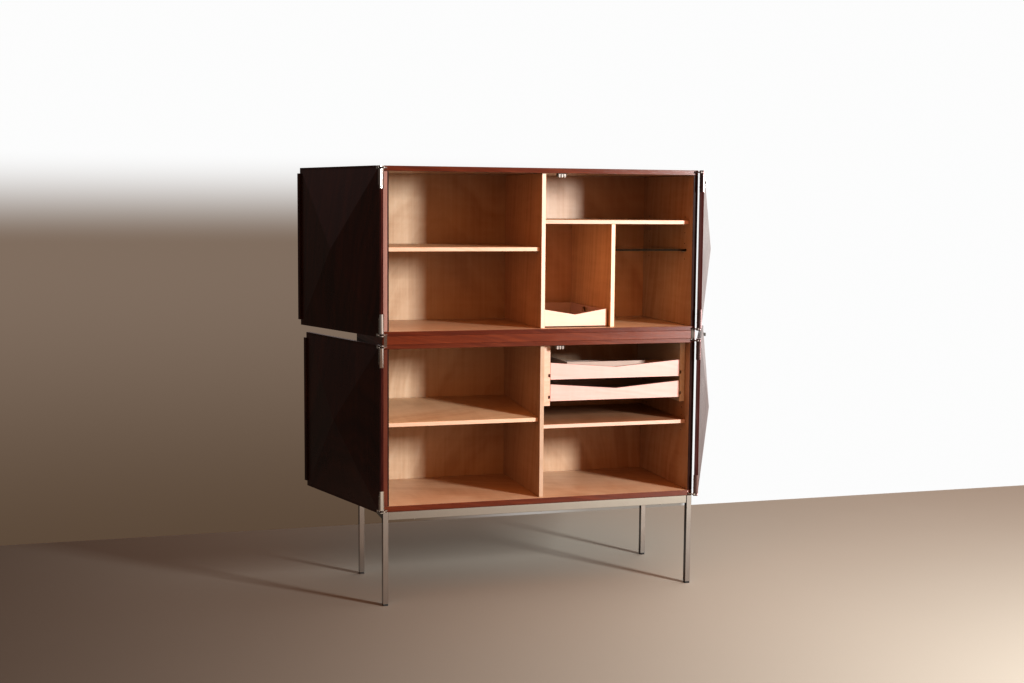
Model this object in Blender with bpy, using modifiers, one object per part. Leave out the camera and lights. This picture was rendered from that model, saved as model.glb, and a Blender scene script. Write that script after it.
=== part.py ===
"""Highboard: two stacked cabinets on a slim metal base, four pivoted diamond-point doors.

Units are metres, +Z up, +X to the cabinet's right as one faces it, +Y to its back.
The cabinet is laid out from its own corner: X = 0 is the left outer face, Y = 0 the
plane of the carcass front edges, Z = 0 the floor. One parent empty then carries the
whole piece so that the origin falls at the bottom centre of its bounding box with
the doors standing open.
"""

import math

import bmesh
import bpy
from mathutils import Matrix, Vector

# ---------------------------------------------------------------- overall size
WIDTH = 1.200
DEPTH = 0.500
FIT = 0.0003  # gap kept between pieces that touch

# ---------------------------------------------------------------- levels
BASE_TOP = 0.344
LOWER_TOP = 0.946
UPPER_BOTTOM = 0.976
TOTAL_TOP = 1.576

SIDE = 0.018  # side panels
OUTER_BOARD = 0.018  # top of the upper cabinet
INNER_BOARD = 0.016  # bottom of the upper and top of the lower cabinet
GROUND_BOARD = 0.020  # bottom of the lower cabinet
CEILING_U = TOTAL_TOP - OUTER_BOARD
FLOOR_U = UPPER_BOTTOM + INNER_BOARD
CEILING_L = LOWER_TOP - INNER_BOARD
FLOOR_L = BASE_TOP + GROUND_BOARD

# ---------------------------------------------------------------- interior
BACK_INNER = 0.483  # inner face of the back panels
BACK = 0.008
DIVIDER_X = 0.592
DIVIDER = 0.016
DIVIDER_SETBACK = 0.017
SHELF = 0.015
SHELF_PLAY = 0.0008  # at each end of a loose shelf
SHELF_BACK = 0.480
SHELVES = {  # name: (left bay?, level of the front's top edge, setback, rise to the back)
    "shelf_upper_left": (True, 1.2896, 0.032, 0.0),
    "shelf_lower_left": (True, 0.6601, 0.032, 0.0269),
    "shelf_upper_right": (False, 1.3896, 0.034, 0.0),
    "shelf_lower_right": (False, 0.6326, 0.032, 0.0),
}
SUBDIVIDER_X = 0.8695
SUBDIVIDER = 0.016
SUBDIVIDER_SETBACK = 0.032  # clear of the closed door's diamond point
GLASS = 0.006
GLASS_TOP = 1.2805
GLASS_SETBACK = 0.052

# ---------------------------------------------------------------- trays
GUIDE_BOTTOM = 0.7000
GUIDE_LEFT = 0.0325
GUIDE_RIGHT = 0.0205
GUIDE_SETBACK = 0.0455
TRAY_X0, TRAY_X1 = 0.6410, 1.1600
TRAY_FRONT_Y = 0.045
TRAY_BACK_Y = 0.405
TRAY_FRONT = 0.012
TRAY_WALL = 0.008
TRAY_FLOOR = 0.005
TRAY_VEE = 0.021  # how far the middle of a front's top edge dips
BOX_DROP = 0.035  # a flat tray's low walls stop this far below its front's corners
TRAY_DROP = 0.004  # the small tray's walls stop this far below its front's corners
PARTITION = 0.006  # walls of the upper tray's inner compartment
PARTITION_X, PARTITION_Y, PARTITION_TOP = 0.757, 0.192, 0.8445
TRAYS = {"tray_upper": (0.7980, 0.8610), "tray_lower": (0.7175, 0.7805)}
TONGUE = 0.007  # runner that slides in the guide's groove
TONGUE_HEIGHT = 0.010
TONGUE_RISE = 0.010  # above the tray's lower edge
RUN = 0.0007  # running clearance round a tongue
BAR_X0, BAR_X1 = 0.6100, 0.8640
BAR_FRONT_Y = 0.050
BAR_BACK_Y = 0.452
BAR_TOP = 1.0600
BAR_LIFT = 0.0045  # the front stands this far above the cabinet floor
SLOT_LENGTH, SLOT_HEIGHT = 0.066, 0.019

# ---------------------------------------------------------------- catches
CATCH = (0.032, 0.0275, 0.0150)
CATCH_X = 0.651
CATCH_Y = 0.0100

# ---------------------------------------------------------------- base
LEG = 0.020
LEG_FRONT_Y = 0.0
LEG_REAR_Y = 0.456
PAD = 0.006
RAIL_HEIGHT = 0.030
RAIL = 0.015

# ---------------------------------------------------------------- doors
DOOR_GAP = 0.002  # door to carcass front
LEAF = 0.015
LEAF_WIDTH = 0.5987
DIAMOND = 0.033  # height of the diamond point
MARGIN = 0.009  # flat rim round the diamond
LIP = 0.008  # how far the meeting strip passes the left leaf
LIP_ATTACH = 0.0085
LIP_DEPTH = 0.0075
LIP_CLEAR = 0.0015
LIP_SHORT = 0.0208  # the strip stops this far from each end of its leaf
OPEN = {"upper_left": 251.1, "lower_left": 253.3, "upper_right": 245.8, "lower_right": 244.6}

# ---------------------------------------------------------------- pivots
ARM = 0.005  # thickness of a pivot arm
ARM_INSET = 0.0045  # from the cabinet's outer level to the arm
EYE_R = 0.0075
PIN_R = 0.0030
HOLE_R = 0.0033
TAIL_X0, TAIL_X1 = 0.0030, 0.0165
TAIL_Y = 0.030
NOTCH_X, NOTCH_Z = 0.026, 0.0125
PLATE = 0.002  # wall of a door fitting
FITTING = 0.080  # its height
FLANGE = 0.008
PIVOT_Y = -(DOOR_GAP + LEAF)
PIVOT_X = 0.001  # the axes stand this far outside the cabinet's sides


# ================================================================ scene set-up
for old in list(bpy.data.objects):
    bpy.data.objects.remove(old, do_unlink=True)

parts = bpy.data.collections.new("highboard")
cutters = bpy.data.collections.new("highboard_cutters")
bpy.context.scene.collection.children.link(parts)
bpy.context.scene.collection.children.link(cutters)


def material(name, colour, roughness, metallic=0.0, alpha=1.0):
    made = bpy.data.materials.new(name)
    made.use_nodes = True
    shader = made.node_tree.nodes["Principled BSDF"]
    shader.inputs["Base Color"].default_value = (*colour, 1.0)
    shader.inputs["Roughness"].default_value = roughness
    shader.inputs["Metallic"].default_value = metallic
    shader.inputs["Alpha"].default_value = alpha
    return made


ROSEWOOD = (0.085, 0.028, 0.018)
MAPLE = (0.56, 0.34, 0.18)
NICKEL = (0.62, 0.60, 0.57)
rosewood = material("rosewood_lacquered", ROSEWOOD, 0.30)
maple = material("light_veneer", MAPLE, 0.45)
nickel = material("satin_nickel", NICKEL, 0.28, 1.0)
glass = material("clear_glass", (0.80, 0.88, 0.85), 0.05, 0.0, 0.35)
rubber = material("dark_pad", (0.02, 0.02, 0.02), 0.75)
steel = material("catch_steel", (0.70, 0.70, 0.70), 0.35, 1.0)


def empty(name, location=(0, 0, 0), turn=0.0, parent=None):
    made = bpy.data.objects.new(name, None)
    made.empty_display_size = 0.05
    made.location = location
    made.rotation_euler = (0, 0, turn)
    made.parent = parent
    parts.objects.link(made)
    return made


root = empty("highboard_origin")


def add(name, mesh, location, look, parent, cutter=False):
    made = bpy.data.objects.new(name, mesh)
    made.location = location
    made.parent = parent
    if cutter:
        cutters.objects.link(made)
        made.hide_render = True
        made.display_type = "WIRE"
    else:
        parts.objects.link(made)
        mesh.materials.clear()
        mesh.materials.append(look.copy())
        mesh.materials[0].name = name + "_finish"
    return made


def soften(made, width, segments=1):
    bevel = made.modifiers.new("rounded_edges", "BEVEL")
    bevel.width = width
    bevel.segments = segments
    bevel.limit_method = "ANGLE"
    bevel.angle_limit = math.radians(35)
    bevel.use_clamp_overlap = True
    return made


def block(name, low, high, look=None, parent=None, edge=0.0008, cutter=False):
    """A square-edged piece between two corners, with its origin at its middle."""
    low, high = Vector(low), Vector(high)
    size, middle = high - low, (high + low) / 2
    shape = bmesh.new()
    bmesh.ops.create_cube(shape, size=1.0, matrix=Matrix.Diagonal((*size, 1.0)))
    mesh = bpy.data.meshes.new(name)
    shape.to_mesh(mesh)
    shape.free()
    made = add(name, mesh, middle, look, parent or root, cutter)
    if edge and not cutter:
        soften(made, edge)
    return made


def outline(name, loops, thickness, look, parent, location=(0, 0, 0), upright=False, cutter=False):
    """A flat outline given its thickness: loops lie in XY and rise along Z, or with
    upright they lie in XZ and run along Y. The thickness is centred on location."""
    curve = bpy.data.curves.new(name + "_outline", "CURVE")
    curve.dimensions = "2D"
    curve.fill_mode = "BOTH"
    curve.extrude = thickness / 2
    for loop in loops:
        spline = curve.splines.new("POLY")
        spline.points.add(len(loop) - 1)
        for point, (x, y) in zip(spline.points, loop):
            point.co = (x, y, 0, 1)
        spline.use_cyclic_u = True
    guide = bpy.data.objects.new(name + "_guide", curve)
    cutters.objects.link(guide)
    guide.hide_render = True
    bpy.context.view_layer.update()
    evaluated = guide.evaluated_get(bpy.context.evaluated_depsgraph_get())
    mesh = bpy.data.meshes.new_from_object(evaluated)
    bpy.data.objects.remove(guide, do_unlink=True)
    mesh.name = name
    shape = bmesh.new()
    shape.from_mesh(mesh)
    bmesh.ops.remove_doubles(shape, verts=shape.verts, dist=1e-6)
    if upright:
        bmesh.ops.rotate(shape, verts=shape.verts, matrix=Matrix.Rotation(math.pi / 2, 3, "X"))
    bmesh.ops.recalc_face_normals(shape, faces=shape.faces)
    shape.to_mesh(mesh)
    shape.free()
    return add(name, mesh, location, look, parent, cutter)


def pyramid(name, half_x, half_z, base_y, tip_y, parent, middle):
    """A four-sided point with its base across Y, for the diamond on a door."""
    height = abs(tip_y - base_y)
    shape = bmesh.new()
    bmesh.ops.create_cone(
        shape, cap_ends=True, segments=4, radius1=math.sqrt(2), radius2=0.0, depth=height,
        matrix=Matrix.Rotation(math.pi / 4, 4, "Z"),
    )
    turn = -math.pi / 2 if tip_y > base_y else math.pi / 2
    bmesh.ops.rotate(shape, verts=shape.verts, matrix=Matrix.Rotation(turn, 3, "X"))
    bmesh.ops.scale(shape, verts=shape.verts, vec=(half_x, 1.0, half_z))
    mesh = bpy.data.meshes.new(name)
    shape.to_mesh(mesh)
    shape.free()
    return add(name, mesh, (middle[0], (base_y + tip_y) / 2, middle[1]), None, parent, cutter=True)


def rod(name, radius, low, high, at, parent, sides=20):
    shape = bmesh.new()
    bmesh.ops.create_cone(
        shape, cap_ends=True, segments=sides, radius1=radius, radius2=radius, depth=high - low
    )
    mesh = bpy.data.meshes.new(name)
    shape.to_mesh(mesh)
    shape.free()
    return add(name, mesh, (at[0], at[1], (low + high) / 2), None, parent, cutter=True)


def combine(made, other, how):
    step = made.modifiers.new(how.lower() + "_" + other.name[-20:], "BOOLEAN")
    step.operation = how
    step.solver = "EXACT"
    step.object = other
    return made


def cut(made, *others):
    for other in others:
        combine(made, other, "DIFFERENCE")
    return made


def join(made, *others):
    for other in others:
        combine(made, other, "UNION")
    return made


def arc(centre, radius, start, end, count):
    return [
        (
            centre[0] + radius * math.cos(math.radians(start + (end - start) * i / (count - 1))),
            centre[1] + radius * math.sin(math.radians(start + (end - start) * i / (count - 1))),
        )
        for i in range(count)
    ]


# ================================================================ carcasses
LEFT, RIGHT = SIDE + FIT, WIDTH - SIDE - FIT
DIVIDER_L, DIVIDER_R = DIVIDER_X - FIT, DIVIDER_X + DIVIDER + FIT
UPPER_ARM = TOTAL_TOP - ARM_INSET - ARM / 2
UPPER_ARM_LOW = UPPER_BOTTOM + ARM_INSET + ARM / 2
LOWER_ARM = LOWER_TOP - ARM_INSET - ARM / 2
LOWER_ARM_LOW = BASE_TOP + ARM_INSET + ARM / 2


def arm_pocket(name, level, right):
    """Housing for a pivot arm's tail in the front corner of a board."""
    x0, x1 = TAIL_X0 - FIT, TAIL_X1 + FIT
    if right:
        x0, x1 = WIDTH - x1, WIDTH - x0
    half = ARM / 2 + FIT
    return block(name, (x0, -0.010, level - half), (x1, TAIL_Y + FIT, level + half), cutter=True)


def cabinet(tag, bottom, floor, ceiling, top, arm_low, arm_high):
    board_low = block(tag + "_bottom", (0, 0, bottom), (WIDTH, DEPTH, floor), rosewood)
    board_high = block(tag + "_top", (0, 0, ceiling), (WIDTH, DEPTH, top), rosewood)
    for right in (False, True):
        hand = "right" if right else "left"
        cut(board_low, arm_pocket(f"{tag}_bottom_pocket_{hand}", arm_low, right))
        cut(board_high, arm_pocket(f"{tag}_top_pocket_{hand}", arm_high, right))
        x0 = WIDTH - SIDE if right else 0
        block(f"{tag}_side_{hand}", (x0, 0, floor + FIT), (x0 + SIDE, DEPTH, ceiling - FIT), rosewood)
    block(
        tag + "_back", (LEFT, BACK_INNER, floor + FIT), (RIGHT, BACK_INNER + BACK, ceiling - FIT),
        maple, edge=0.0,
    )
    block(
        tag + "_divider", (DIVIDER_X, DIVIDER_SETBACK, floor + FIT),
        (DIVIDER_X + DIVIDER, BACK_INNER - FIT, ceiling - FIT), maple,
    )


cabinet("lower", BASE_TOP, FLOOR_L, CEILING_L, LOWER_TOP, LOWER_ARM_LOW, LOWER_ARM)
cabinet("upper", UPPER_BOTTOM, FLOOR_U, CEILING_U, TOTAL_TOP, UPPER_ARM_LOW, UPPER_ARM)
block("spacer_board", (0, 0, LOWER_TOP + FIT), (WIDTH, DEPTH, UPPER_BOTTOM - FIT), rosewood)

# ================================================================ shelves
for name, (in_left, level, setback, rise) in SHELVES.items():
    x0, x1 = (SIDE, DIVIDER_X) if in_left else (DIVIDER_X + DIVIDER, WIDTH - SIDE)
    length = SHELF_BACK - setback
    shelf = block(name, (x0 + SHELF_PLAY, setback, level - SHELF), (x1 - SHELF_PLAY, SHELF_BACK, level), maple)
    if rise:  # its rear pins sit one hole higher, so it leans forward about its front top edge
        tilt = math.asin(rise / length)
        shelf.rotation_euler = (tilt, 0, 0)
        shelf.location.y = setback + length / 2 * math.cos(tilt) + SHELF / 2 * math.sin(tilt)
        shelf.location.z = level + length / 2 * math.sin(tilt) - SHELF / 2 * math.cos(tilt)
block(
    "subdivider", (SUBDIVIDER_X, SUBDIVIDER_SETBACK, FLOOR_U + FIT),
    (SUBDIVIDER_X + SUBDIVIDER, SHELF_BACK, SHELVES["shelf_upper_right"][1] - SHELF - FIT), maple,
)
block(
    "glass_shelf", (SUBDIVIDER_X + SUBDIVIDER + SHELF_PLAY, GLASS_SETBACK, GLASS_TOP - GLASS),
    (WIDTH - SIDE - SHELF_PLAY, SHELF_BACK - 0.012, GLASS_TOP), glass, edge=0.0006,
)

# ================================================================ tray guides
guides = {
    "tray_guide_left": (DIVIDER_R, DIVIDER_R + GUIDE_LEFT),
    "tray_guide_right": (RIGHT - GUIDE_RIGHT, RIGHT),
}
for name, (x0, x1) in guides.items():
    guide = block(name, (x0, GUIDE_SETBACK, GUIDE_BOTTOM), (x1, SHELF_BACK, CEILING_L - FIT), maple, edge=0.0)
    inward = name.endswith("left")
    for tray, (low, high) in TRAYS.items():
        z0 = low + TONGUE_RISE - RUN
        z1 = low + TONGUE_RISE + TONGUE_HEIGHT + RUN
        reach = TONGUE + RUN
        gx0, gx1 = (TRAY_X0 - reach, x1 + 0.01) if inward else (x0 - 0.01, TRAY_X1 + reach)
        cut(guide, block(f"{name}_{tray}_groove", (gx0, GUIDE_SETBACK - 0.01, z0), (gx1, TRAY_BACK_Y + 0.004, z1), cutter=True))
    soften(guide, 0.0008)


# ================================================================ trays
def vee_front(name, x0, x1, y, low, high, look, parent):
    middle = (x0 + x1) / 2
    loop = [(x0, low), (x1, low), (x1, high), (middle, high - TRAY_VEE), (x0, high)]
    front = outline(name, [loop], TRAY_FRONT, look, parent, (0, y + TRAY_FRONT / 2, 0), upright=True)
    return soften(front, 0.0008)


for tray, (low, high) in TRAYS.items():
    slide = empty(tray + "_slide", ((TRAY_X0 + TRAY_X1) / 2, TRAY_FRONT_Y, low), parent=root)
    here = Vector(slide.location)
    front = vee_front(
        tray + "_front", TRAY_X0 - here.x, TRAY_X1 - here.x, 0, low - here.z, high - here.z, maple, slide
    )
    x0, x1 = TRAY_X0 + 0.004 - here.x, TRAY_X1 - 0.004 - here.x
    y0, y1 = TRAY_FRONT + FIT, TRAY_BACK_Y - TRAY_FRONT_Y
    z1 = high - low - BOX_DROP
    box = block(tray + "_box", (x0, y0, 0.002), (x1, y1, z1), maple, slide, edge=0.0)
    cut(
        box,
        block(
            tray + "_hollow", (x0 + TRAY_WALL, y0 - 0.01, 0.002 + TRAY_FLOOR),
            (x1 - TRAY_WALL, y1 - TRAY_WALL, z1 + 0.02), parent=slide, cutter=True,
        ),
    )
    if tray == "tray_upper":
        px, py, pz = PARTITION_X - here.x, PARTITION_Y - here.y, PARTITION_TOP - here.z
        join(
            box,
            block(tray + "_cross_wall", (px, py, 0.004), (x1 - 0.004, py + PARTITION, pz), parent=slide, cutter=True),
            block(tray + "_long_wall", (px, py + 0.002, 0.004), (px + PARTITION, y1 - 0.004, pz - 0.0005), parent=slide, cutter=True),
        )
    for hand, gx0, gx1 in (
        ("left", TRAY_X0 - here.x - TONGUE, x0 + 0.003),
        ("right", x1 - 0.003, TRAY_X1 - here.x + TONGUE),
    ):
        join(
            box,
            block(
                f"{tray}_tongue_{hand}", (gx0, y0 + 0.010, TONGUE_RISE),
                (gx1, y1 - 0.010, TONGUE_RISE + TONGUE_HEIGHT), parent=slide, cutter=True,
            ),
        )

bar = empty("bar_tray_slide", ((BAR_X0 + BAR_X1) / 2, BAR_FRONT_Y, FLOOR_U), parent=root)
half = (BAR_X1 - BAR_X0) / 2
length = BAR_BACK_Y - BAR_FRONT_Y
rise = BAR_TOP - FLOOR_U
bar_tray = vee_front("bar_tray", -half, half, 0, BAR_LIFT, rise, maple, bar)
bar_tray.modifiers.clear()
join(
    bar_tray,
    block("bar_tray_side_left", (-half + FIT, 0.006, FIT), (-half + TRAY_WALL, length, rise - TRAY_DROP), parent=bar, cutter=True),
    block("bar_tray_side_right", (half - TRAY_WALL, 0.006, FIT), (half - FIT, length, rise - TRAY_DROP), parent=bar, cutter=True),
    block("bar_tray_back", (-half + 0.004, length - TRAY_WALL, BAR_LIFT), (half - 0.004, length - 0.0005, rise - TRAY_DROP - 0.0005), parent=bar, cutter=True),
    block("bar_tray_floor", (-half + 0.004, 0.006, BAR_LIFT + 0.001), (half - 0.004, length - 0.004, BAR_LIFT + 0.001 + TRAY_FLOOR), parent=bar, cutter=True),
)
slot_z = rise - 0.0195
for hand, x in (("left", -half), ("right", half - TRAY_WALL)):
    y = length * 0.56
    r = SLOT_HEIGHT / 2
    ends = arc((y + SLOT_LENGTH / 2 - r, 0), r, -90, 90, 7) + arc((y - SLOT_LENGTH / 2 + r, 0), r, 90, 270, 7)
    slot = outline(f"bar_tray_slot_{hand}", [ends], 0.03, None, bar, (x + TRAY_WALL / 2, 0, slot_z), upright=True, cutter=True)
    slot.rotation_euler = (0, 0, math.pi / 2)
    cut(bar_tray, slot)

# ================================================================ catches
for name, ceiling in (("catch_upper", CEILING_U), ("catch_lower", CEILING_L)):
    block(
        name, (CATCH_X, CATCH_Y, ceiling - FIT - CATCH[2]),
        (CATCH_X + CATCH[0], CATCH_Y + CATCH[1], ceiling - FIT), steel, edge=0.0012,
    )

# ================================================================ base
for hand, x in (("left", 0.0), ("right", WIDTH - LEG)):
    for end, y in (("front", LEG_FRONT_Y), ("rear", LEG_REAR_Y)):
        block(f"leg_{end}_{hand}", (x, y, PAD + FIT), (x + LEG, y + LEG, BASE_TOP - FIT), nickel, edge=0.0010)
        block(f"foot_pad_{end}_{hand}", (x + 0.0008, y + 0.0008, 0), (x + LEG - 0.0008, y + LEG - 0.0008, PAD), rubber, edge=0.0008)
RAIL_LOW = BASE_TOP - FIT - RAIL_HEIGHT
for end, y in (("front", LEG_FRONT_Y + 0.002), ("rear", LEG_REAR_Y + LEG - 0.002 - RAIL)):
    block(f"base_rail_{end}", (LEG + FIT, y, RAIL_LOW), (WIDTH - LEG - FIT, y + RAIL, BASE_TOP - FIT), nickel, edge=0.0010)
for hand, x in (("left", 0.002), ("right", WIDTH - 0.002 - RAIL)):
    block(f"base_rail_{hand}", (x, LEG_FRONT_Y + LEG + FIT, RAIL_LOW), (x + RAIL, LEG_REAR_Y - FIT, BASE_TOP - FIT), nickel, edge=0.0010)


# ================================================================ pivot arms
def arm_loops(right):
    """Eye round the pivot, a slanted neck, and a square tail in the board."""
    loop = arc((-PIVOT_X, PIVOT_Y), EYE_R, 150, 385, 15)
    loop += [(TAIL_X1, -0.0030), (TAIL_X1, TAIL_Y), (TAIL_X0, TAIL_Y), (TAIL_X0, -0.0030)]
    hole = arc((-PIVOT_X, PIVOT_Y), HOLE_R, 0, 337.5, 16)
    if right:
        loop = [(WIDTH - x, y) for x, y in loop]
        hole = [(WIDTH - x, y) for x, y in hole]
    return [loop, hole]


for right in (False, True):
    hand = "right" if right else "left"
    loops = arm_loops(right)
    outline(f"pivot_arm_top_{hand}", loops, ARM, nickel, root, (0, 0, UPPER_ARM))
    outline(f"pivot_arm_bottom_{hand}", loops, ARM, nickel, root, (0, 0, LOWER_ARM_LOW))
    middle = outline(f"pivot_bracket_middle_{hand}", loops, ARM, nickel, root, (0, 0, UPPER_ARM_LOW))
    lower_half = outline(f"pivot_bracket_lower_arm_{hand}", loops, ARM, None, root, (0, 0, LOWER_ARM), cutter=True)
    x0, x1 = (TAIL_X0 + 0.001, TAIL_X1 - 0.001)
    if right:
        x0, x1 = WIDTH - x1, WIDTH - x0
    web = block(
        f"pivot_bracket_web_{hand}", (x0, -0.0016, LOWER_ARM - ARM / 2 + 0.0005),
        (x1, -FIT, UPPER_ARM_LOW + ARM / 2 - 0.0005), cutter=True,
    )
    join(middle, lower_half, web)


# ================================================================ doors
def door(tag, bottom, top, left):
    """Leaf, fittings and strip are laid out closed, from the pivot at their outer
    hinge-side corner: X towards the free edge, Y towards the cabinet."""
    hand = 1 if left else -1
    turn = math.radians(-OPEN[tag] if left else OPEN[tag])
    pivot = empty("pivot_" + tag, (-PIVOT_X if left else WIDTH + PIVOT_X, PIVOT_Y, 0), turn, root)

    def span(x0, x1):
        return (x0, x1) if left else (-x1, -x0)

    x0, x1 = span(FIT, LEAF_WIDTH)
    leaf = block("door_" + tag, (x0, 0, bottom), (x1, LEAF, top), rosewood, pivot, edge=0.0)
    middle = (hand * (FIT + LEAF_WIDTH) / 2, (bottom + top) / 2)
    half_x = (LEAF_WIDTH - FIT) / 2 - MARGIN
    half_z = (top - bottom) / 2 - MARGIN
    sink = 0.001
    grow = (DIAMOND + sink) / DIAMOND
    point = pyramid(f"door_{tag}_point", half_x * grow, half_z * grow, LEAF - sink, LEAF + DIAMOND, pivot, middle)
    dish = pyramid(f"door_{tag}_dish", half_x * grow, half_z * grow, -sink, DIAMOND, pivot, middle)
    join(leaf, point)
    cut(leaf, dish)
    nx0, nx1 = span(-0.01, NOTCH_X)
    for end, z0, z1 in (("low", bottom - 0.01, bottom + NOTCH_Z), ("high", top - NOTCH_Z, top + 0.01)):
        cut(leaf, block(f"door_{tag}_notch_{end}", (nx0, -0.01, z0), (nx1, LEAF + 0.01, z1), parent=pivot, cutter=True))

    for end, edge, way in (("low", bottom, 1), ("high", top, -1)):

        def level(a, b):
            return (edge + a, edge + b) if way > 0 else (edge - b, edge - a)

        # clevis in the leaf's corner notch, with the pin between its plates
        name = f"hinge_{tag}_{'bottom' if end == 'low' else 'top'}"
        cx0, cx1 = span(-PLATE, NOTCH_X - FIT)
        z0, z1 = level(FIT, 0.0038)
        fitting = block(name, (cx0, -PLATE, z0), (cx1, LEAF, z1), nickel, pivot, edge=0.0)
        pieces = []

        def piece(label, xs, ys, zs):
            a, b = span(*xs)
            c, d = level(*zs)
            pieces.append(block(f"{name}_{label}", (a, ys[0], c), (b, ys[1], d), parent=pivot, cutter=True))

        inner = LEAF + FIT
        shelf_low, shelf_high = ARM_INSET + ARM + 0.0005, NOTCH_Z - FIT
        piece("seat", (-PLATE, NOTCH_X - FIT), (-PLATE + 0.0001, LEAF - 0.0001), (shelf_low, shelf_high))
        piece("web", (NOTCH_X - 0.0045, NOTCH_X - FIT - 0.0001), (0.0002, LEAF - 0.0003), (0.0010, shelf_high - 0.0004))
        piece("edge", (-PLATE, 0.0), (-PLATE + 0.0002, inner + 0.0010), (shelf_low + 0.0002, FITTING))
        piece("outer", (-PLATE + 0.0003, FLANGE), (-PLATE, -FIT), (shelf_low + 0.0003, FITTING - 0.0003))
        piece("inner", (-PLATE + 0.0004, FLANGE), (inner, inner + 0.0008), (NOTCH_Z + 0.0005, FITTING - 0.0120))
        zs = level(0.0012, shelf_high - 0.0006)
        pin = rod(f"{name}_pin", PIN_R, zs[0], zs[1], (0, 0), pivot, sides=16)
        pieces.append(pin)
        join(fitting, *pieces)

    if left:
        x_in, x_mid, x_out = LEAF_WIDTH - LIP_ATTACH, LEAF_WIDTH, LEAF_WIDTH + LIP
        y0 = LEAF + FIT
        loop = [(x_in, y0), (x_mid, y0), (x_mid, y0 + LIP_CLEAR), (x_out, y0 + LIP_CLEAR), (x_out, y0 + LIP_DEPTH), (x_in, y0 + LIP_DEPTH)]
        tall = top - bottom - 2 * LIP_SHORT
        strip = outline(f"meeting_strip_{tag}", [loop], tall, rosewood, pivot, (0, 0, (top + bottom) / 2))
        soften(strip, 0.0008)
    return pivot


door("upper_left", UPPER_BOTTOM, TOTAL_TOP, True)
door("lower_left", BASE_TOP, LOWER_TOP, True)
door("upper_right", UPPER_BOTTOM, TOTAL_TOP, False)
door("lower_right", BASE_TOP, LOWER_TOP, False)

# ================================================================ origin
bpy.context.view_layer.update()
graph = bpy.context.evaluated_depsgraph_get()
low, high = Vector((9, 9, 9)), Vector((-9, -9, -9))
for item in parts.objects:
    if item.type != "MESH":
        continue
    evaluated = item.evaluated_get(graph)
    mesh = evaluated.to_mesh()
    for vertex in mesh.vertices:
        place = evaluated.matrix_world @ vertex.co
        low = Vector(map(min, low, place))
        high = Vector(map(max, high, place))
    evaluated.to_mesh_clear()
root.location = (-(low.x + high.x) / 2, -(low.y + high.y) / 2, -low.z)

for item in parts.objects:
    if item.type == "MESH" and item.name.startswith(("pivot_", "hinge_")):
        item.data.shade_smooth()
        item.data.set_sharp_from_angle(angle=math.radians(35))
bpy.context.view_layer.update()
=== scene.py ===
"""Looks of the highboard: veneers, lacquered edges, nickel fittings, small hardware, light and camera."""

import math

import bmesh
import bpy
from mathutils import Matrix, Vector


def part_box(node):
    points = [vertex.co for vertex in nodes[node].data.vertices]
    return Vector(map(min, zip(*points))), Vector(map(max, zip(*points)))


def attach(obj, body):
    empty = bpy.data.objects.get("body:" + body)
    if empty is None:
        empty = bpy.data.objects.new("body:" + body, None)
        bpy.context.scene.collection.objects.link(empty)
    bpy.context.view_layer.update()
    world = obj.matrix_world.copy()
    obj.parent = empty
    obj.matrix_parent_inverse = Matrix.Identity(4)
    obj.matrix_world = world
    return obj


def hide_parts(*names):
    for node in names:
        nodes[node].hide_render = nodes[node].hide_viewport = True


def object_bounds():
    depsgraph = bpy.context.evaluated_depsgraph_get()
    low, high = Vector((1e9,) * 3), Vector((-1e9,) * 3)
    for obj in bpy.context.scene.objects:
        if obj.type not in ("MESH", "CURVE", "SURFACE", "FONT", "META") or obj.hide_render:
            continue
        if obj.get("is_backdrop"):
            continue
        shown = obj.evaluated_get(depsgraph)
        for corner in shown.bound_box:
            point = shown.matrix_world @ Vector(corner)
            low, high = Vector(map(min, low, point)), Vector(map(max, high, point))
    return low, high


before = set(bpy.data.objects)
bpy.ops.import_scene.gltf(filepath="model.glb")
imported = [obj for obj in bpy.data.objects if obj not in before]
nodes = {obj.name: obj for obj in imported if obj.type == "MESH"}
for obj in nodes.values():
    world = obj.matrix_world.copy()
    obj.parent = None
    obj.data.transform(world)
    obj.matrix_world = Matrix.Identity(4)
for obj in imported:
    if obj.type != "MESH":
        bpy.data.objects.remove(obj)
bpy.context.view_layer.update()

# Cabinet coordinates (left outer face, front edges, floor) to the row frame.
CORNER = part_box("upper_side_left")[0]
SHIFT = Vector((CORNER[0], CORNER[1], 0.0))
WIDTH, DEPTH, SIDE = 1.200, 0.500, 0.018
PIVOT_LEFT = Vector((-0.001, -0.017, 0.0)) + SHIFT
PIVOT_RIGHT = Vector((WIDTH + 0.001, -0.017, 0.0)) + SHIFT
LEAF = 0.015
LEAF_WIDTH = 0.5987
DOORS = {  # name: (left leaf?, opened by, bottom, top)
    "upper_left": (True, 251.1, 0.976, 1.576),
    "lower_left": (True, 253.3, 0.344, 0.946),
    "upper_right": (False, 245.8, 0.976, 1.576),
    "lower_right": (False, 244.6, 0.344, 0.946),
}
CEILING = {"upper": 1.558, "lower": 0.930}


def at(x, y, z):
    return Vector((x, y, z)) + SHIFT


def door_matrix(tag):
    """From a leaf's own layout (X to its free edge, Y to the cabinet when closed) to the row frame."""
    left, opened, _, _ = DOORS[tag]
    pivot = PIVOT_LEFT if left else PIVOT_RIGHT
    turn = math.radians(-opened if left else opened)
    return Matrix.Translation(pivot) @ Matrix.Rotation(turn, 4, "Z")


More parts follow.
